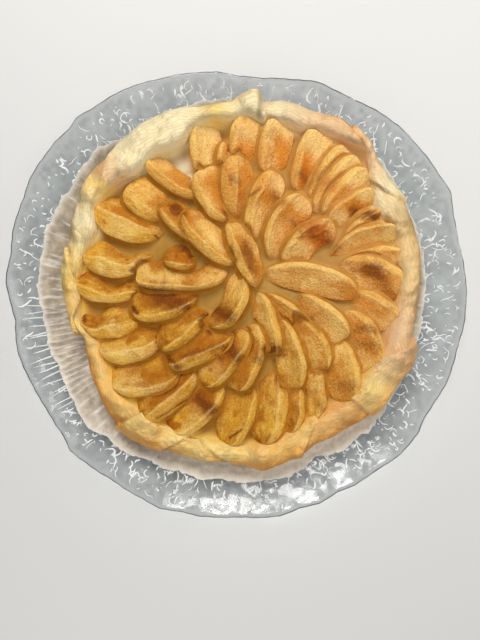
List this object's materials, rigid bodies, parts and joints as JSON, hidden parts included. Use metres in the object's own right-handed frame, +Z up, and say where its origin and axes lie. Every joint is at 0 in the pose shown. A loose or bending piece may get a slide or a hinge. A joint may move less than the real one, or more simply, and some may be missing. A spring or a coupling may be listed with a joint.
{
  "type": "puff pastry apple pie",
  "caption": "Round baked puff pastry pie with a rosette of browned apple slices, on baking paper in a clear pressed glass plate with a scalloped rim.",
  "frame": {"origin": "middle of the plate's outline on the surface that it stands on", "axes": "+Z up; +X to the right and +Y away from the viewer, with the thick folded part of the rim at -X +Y"},
  "size_m": [0.3504, 0.339, 0.0348],
  "materials": {
    "glass": "clear pressed glass with a wrinkled, ribbed texture",
    "paper": "greasy translucent baking paper, crumpled at its torn edge",
    "pastry": "baked puff pastry, cream to golden brown, flaky at the edge",
    "apple": "baked apple, amber with brown patches, moist"
  },
  "bodies": {
    "root": {"glass_plate": "glass", "baking_paper": "paper", "pastry_case": "pastry", "apple_slice_01": "apple", "apple_slice_02": "apple", "apple_slice_03": "apple", "apple_slice_04": "apple", "apple_slice_05": "apple", "apple_slice_06": "apple", "apple_slice_07": "apple", "apple_slice_08": "apple", "apple_slice_09": "apple", "apple_slice_10": "apple", "apple_slice_11": "apple", "apple_slice_12": "apple", "apple_slice_13": "apple", "apple_slice_14": "apple", "apple_slice_15": "apple", "apple_slice_16": "apple", "apple_slice_17": "apple", "apple_slice_18": "apple", "apple_slice_19": "apple", "apple_slice_20": "apple", "apple_slice_21": "apple", "apple_slice_22": "apple", "apple_slice_23": "apple", "apple_slice_24": "apple", "apple_slice_25": "apple", "apple_slice_26": "apple", "apple_slice_27": "apple", "apple_slice_28": "apple", "apple_slice_29": "apple", "apple_slice_30": "apple", "apple_slice_31": "apple", "apple_slice_32": "apple", "apple_slice_33": "apple", "apple_slice_34": "apple", "apple_slice_35": "apple", "apple_slice_36": "apple", "apple_slice_37": "apple", "apple_slice_38": "apple", "apple_slice_39": "apple", "apple_slice_40": "apple", "apple_slice_41": "apple", "apple_slice_42": "apple", "apple_slice_43": "apple", "apple_slice_44": "apple", "apple_slice_45": "apple", "apple_slice_46": "apple", "apple_slice_47": "apple", "apple_slice_48": "apple", "apple_slice_49": "apple", "apple_slice_50": "apple", "apple_slice_51": "apple", "apple_slice_52": "apple"}
  },
  "joints": []
}
